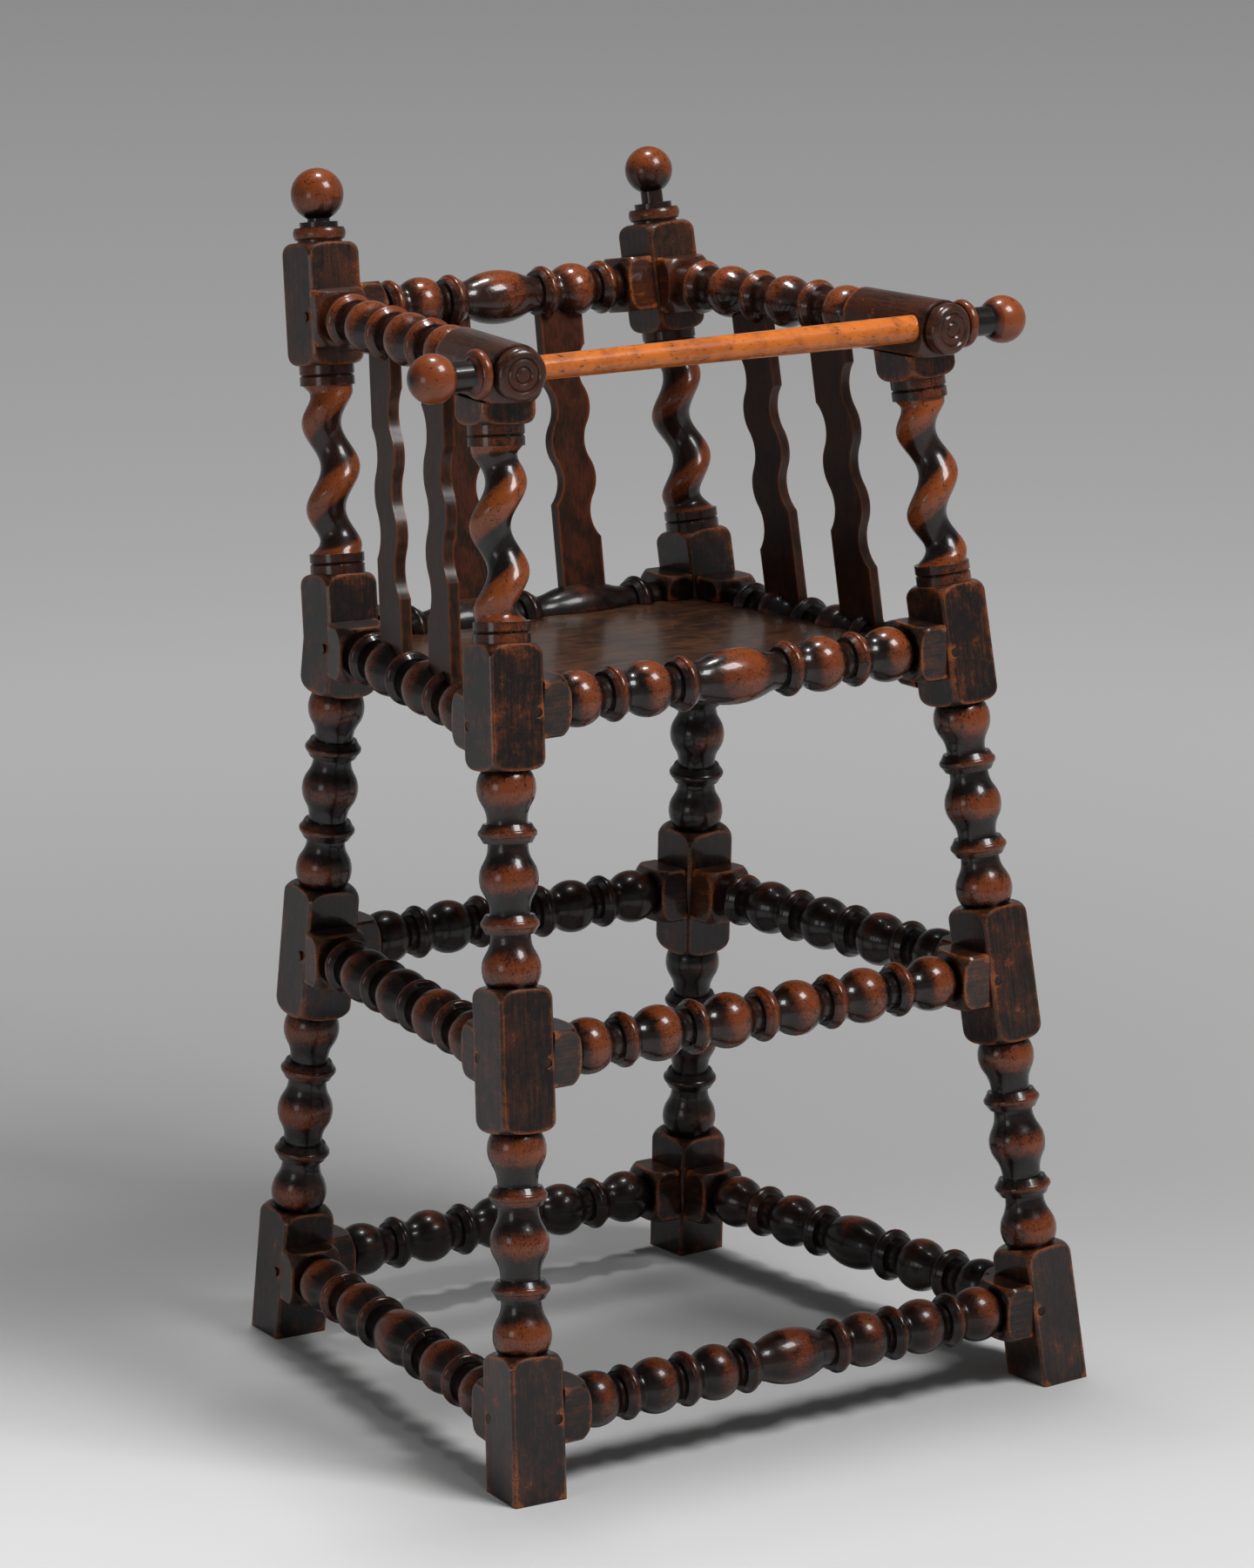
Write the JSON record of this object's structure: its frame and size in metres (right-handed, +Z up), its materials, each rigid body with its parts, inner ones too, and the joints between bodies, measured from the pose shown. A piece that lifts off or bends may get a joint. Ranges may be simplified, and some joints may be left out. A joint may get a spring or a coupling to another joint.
{
  "type": "high chair",
  "caption": "Turned wooden high chair on tall splayed legs, with ball-and-ring rails, rope-twist uprights, wavy splats, a board seat and a draw-out bar across the arms.",
  "frame": {"origin": "on the floor, under the middle of the chair's bounding box", "axes": "+Z up, +Y towards the chair's back, +X towards the right as seen from the front"},
  "size_m": [0.5374, 0.466, 0.9085],
  "materials": {
    "frame_wood": "waxed, dark patina, rubbed lighter on the balls, rims and edges",
    "splat_wood": "waxed, dark patina",
    "seat_wood": "worn satin",
    "rod_wood": "waxed, rubbed lighter by hands",
    "peg_wood": "waxed, cut flush"
  },
  "bodies": {
    "chair": {"arm_left": "frame_wood", "arm_right": "frame_wood", "crest_rail": "frame_wood", "pegs_back_left": "peg_wood", "pegs_back_right": "peg_wood", "pegs_front_left": "peg_wood", "pegs_front_right": "peg_wood", "post_back_left": "frame_wood", "post_back_right": "frame_wood", "post_front_left": "frame_wood", "post_front_right": "frame_wood", "seat_board": "seat_wood", "seat_rail_back": "frame_wood", "seat_rail_front": "frame_wood", "seat_rail_left": "frame_wood", "seat_rail_right": "frame_wood", "splat_back_left": "splat_wood", "splat_back_right": "splat_wood", "splat_left_front": "splat_wood", "splat_left_rear": "splat_wood", "splat_right_front": "splat_wood", "splat_right_rear": "splat_wood", "stretcher_back_low": "frame_wood", "stretcher_back_mid": "frame_wood", "stretcher_front_low": "frame_wood", "stretcher_front_mid": "frame_wood", "stretcher_left_low": "frame_wood", "stretcher_left_mid": "frame_wood", "stretcher_right_low": "frame_wood", "stretcher_right_mid": "frame_wood"},
    "bar": {"rod": "rod_wood"},
    "bar_knob": {"rod_knob": "rod_wood"}
  },
  "joints": [
    {"name": "bar_draw", "type": "slide", "parent": "chair", "child": "bar", "axis": [1, 0, 0], "range_m": [0, 0.4]},
    {"name": "knob_pull", "type": "slide", "parent": "chair", "child": "bar_knob", "axis": [-1, 0, 0], "range_m": [0, 0.05]}
  ]
}
